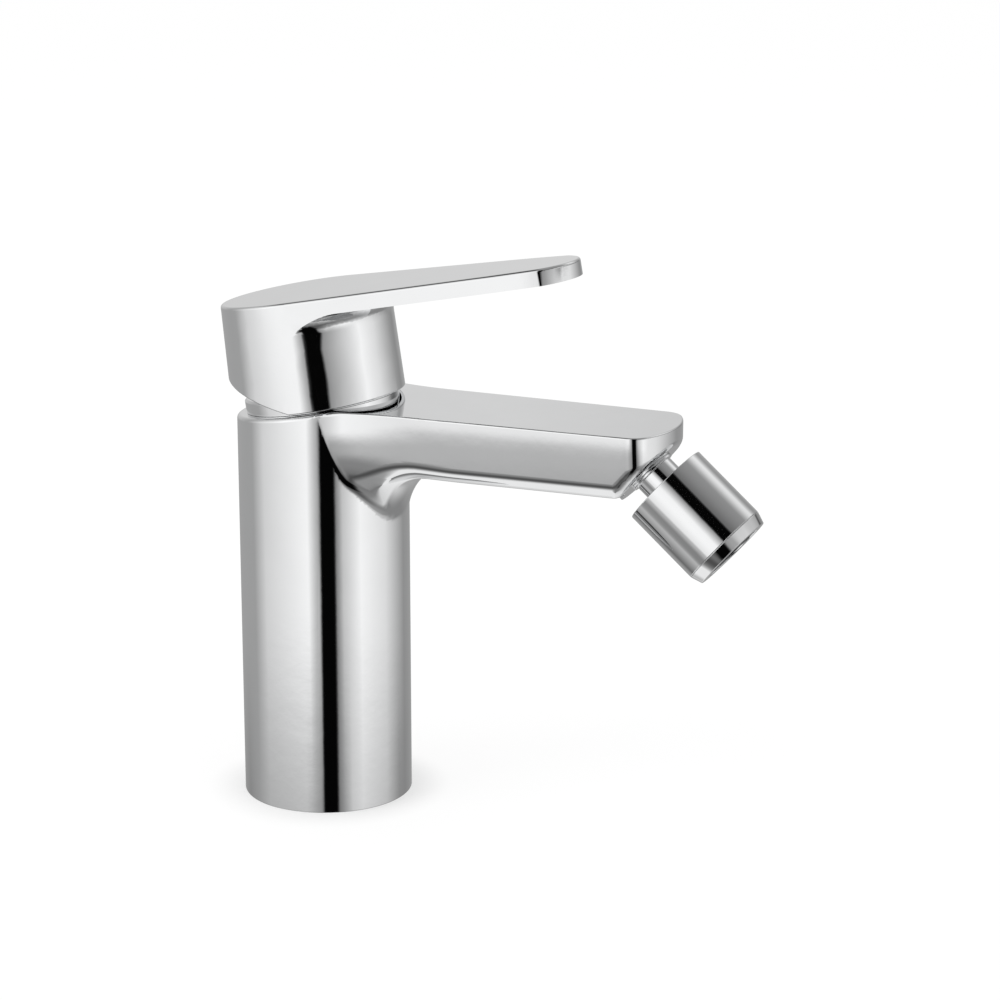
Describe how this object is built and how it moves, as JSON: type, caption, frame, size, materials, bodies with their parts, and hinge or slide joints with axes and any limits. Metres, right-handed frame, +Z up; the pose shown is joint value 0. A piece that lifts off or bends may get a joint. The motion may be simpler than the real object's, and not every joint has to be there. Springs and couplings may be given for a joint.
{
  "type": "bidet mixer",
  "caption": "Lever bidet mixer: round column with a flat-topped spout, a ball-jointed swivelling outlet, a leaning cap with a tapering flat lever, and its disc cartridge inside.",
  "frame": {"origin": "on the round body's axis, at the foot face that stands on the bidet", "axes": "+X the way the spout points, +Z up out of the foot, Y across the spout"},
  "size_m": [0.1508, 0.0468, 0.1526],
  "materials": {
    "chrome": "polished",
    "brass": "machined",
    "steel": "ground",
    "rubber": "moulded",
    "white_plastic": "moulded",
    "dark_plastic": "moulded",
    "ceramic": "lapped",
    "plug": "gloss"
  },
  "bodies": {
    "body": {"mixer_body": "chrome", "foot_seal": "rubber", "shroud_ring": "chrome", "shroud_seal": "rubber", "retaining_nut": "brass", "cartridge_housing": "white_plastic", "cartridge_base": "white_plastic", "inlet_seals": "rubber", "disc_gasket": "rubber", "fixed_disc": "ceramic", "upper_seal": "rubber", "limit_ring": "dark_plastic", "ball_nipple": "chrome", "nipple_seal": "rubber"},
    "carrier": {"stem_carrier": "dark_plastic", "pivot_pin": "steel"},
    "lever": {"handle": "chrome", "lever_stem": "brass", "stem_sleeve": "white_plastic", "set_screw": "steel", "index_plug": "plug"},
    "disc": {"disc_driver": "white_plastic", "moving_disc": "ceramic"},
    "nod_seat": {"lower_seat": "white_plastic", "ball_seal": "rubber"},
    "swing_seat": {"upper_seat": "white_plastic"},
    "outlet": {"outlet_housing": "chrome", "outlet_ring": "chrome", "socket_ring": "brass", "flow_washer": "rubber", "aerator_insert": "dark_plastic", "coarse_screen": "steel", "fine_screens": "steel", "flow_grid": "dark_plastic"}
  },
  "joints": [
    {"name": "handle_swivel", "type": "hinge", "parent": "body", "child": "carrier", "pos_m": [0, 0, 0.1093], "axis": [-0.165, 0, 0.9863], "range_deg": [-50, 50]},
    {"name": "handle_lift", "type": "hinge", "parent": "carrier", "child": "lever", "pos_m": [0.0005, 0, 0.10634], "axis": [0, -1, 0], "range_deg": [0, 22]},
    {"name": "disc_slide", "type": "slide", "parent": "carrier", "child": "disc", "axis": [0.9863, 0, 0.165], "range_m": [0, 0.00481]},
    {"name": "outlet_nod", "type": "hinge", "parent": "body", "child": "nod_seat", "pos_m": [0.10204, 0, 0.09215], "axis": [0, 1, 0], "range_deg": [-10, 10]},
    {"name": "outlet_swing", "type": "hinge", "parent": "nod_seat", "child": "swing_seat", "pos_m": [0.10204, 0, 0.09215], "axis": [0.6587, 0, 0.7524], "range_deg": [-10, 10]},
    {"name": "outlet_spin", "type": "hinge", "parent": "swing_seat", "child": "outlet", "pos_m": [0.10204, 0, 0.09215], "axis": [0.7524, 0, -0.6587], "continuous": true}
  ],
  "couplings": [
    {"joint": "disc_slide", "follows": "handle_lift", "m_per_rad": 0.012523}
  ]
}
